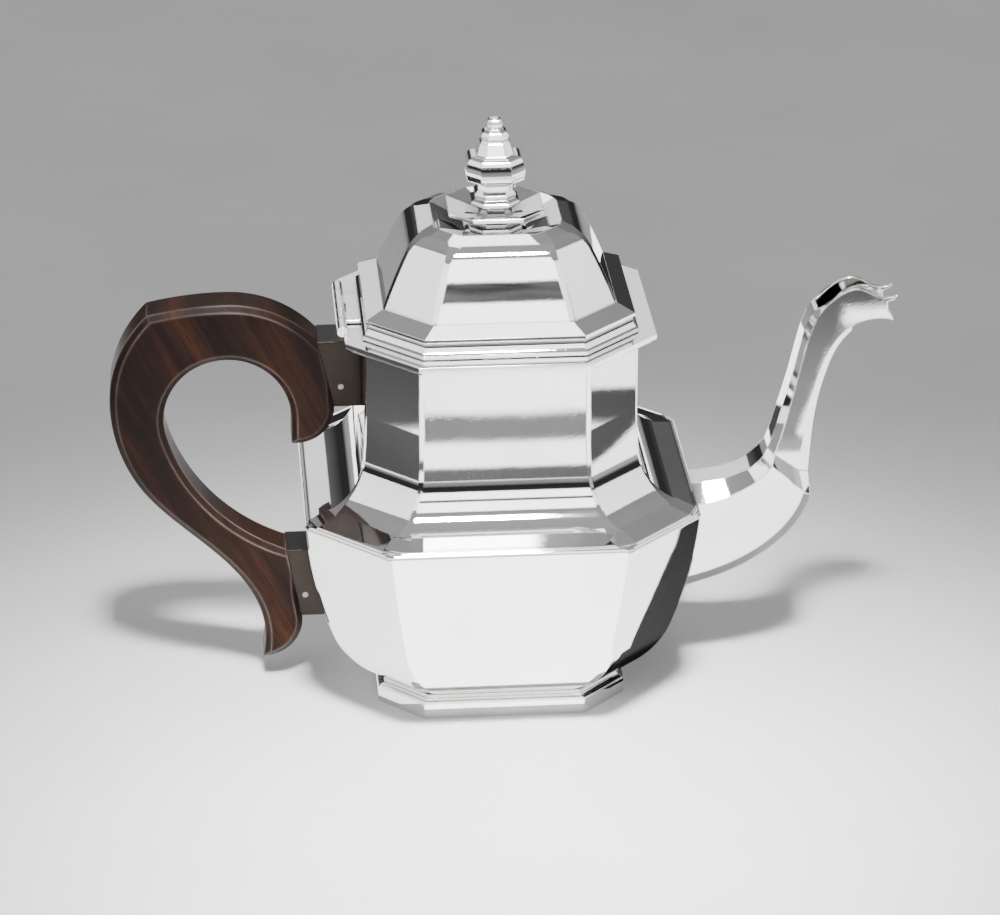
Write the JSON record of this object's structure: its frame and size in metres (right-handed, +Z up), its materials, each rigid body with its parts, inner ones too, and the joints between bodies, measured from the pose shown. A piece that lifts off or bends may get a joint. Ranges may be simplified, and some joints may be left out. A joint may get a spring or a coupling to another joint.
{
  "type": "silver coffee pot",
  "caption": "Eight-sided silver coffee pot with a hinged domed lid, a tall curved spout and a pinned dark wood handle",
  "frame": {"origin": "centre of the flat underside of the foot ring, on the pot's upright axis", "axes": "+X towards the spout, +Y to the far side of the pot with the spout on the right, +Z up"},
  "size_m": [0.2596, 0.1292, 0.1956],
  "materials": {
    "silver": "polished silver with fine wear",
    "aged_silver": "tarnished silver, dark, warm and dull",
    "dark_wood": "oiled dark hardwood with orange-brown grain"
  },
  "bodies": {
    "pot": {"foot_ring": "silver", "belly": "silver", "neck": "silver", "rim_moulding": "silver", "spout_base": "silver", "spout_shaft": "silver", "spout_strainer": "silver", "upper_socket": "aged_silver", "lower_socket": "aged_silver", "handle": "dark_wood", "upper_handle_pin": "silver", "lower_handle_pin": "silver", "body_knuckles": "silver", "hinge_pin": "silver"},
    "lid": {"lid_rim": "silver", "lid_dome": "silver", "lid_bezel": "silver", "lid_knuckles": "silver", "finial_base": "silver", "finial_saucer": "silver", "finial_baluster": "silver", "finial_stud": "aged_silver", "finial_washer": "aged_silver", "finial_nut": "aged_silver"}
  },
  "joints": [
    {"name": "lid_hinge", "type": "hinge", "parent": "pot", "child": "lid", "pos_m": [-0.0508, 0, 0.131], "axis": [0, -1, 0], "range_deg": [0, 100]}
  ]
}
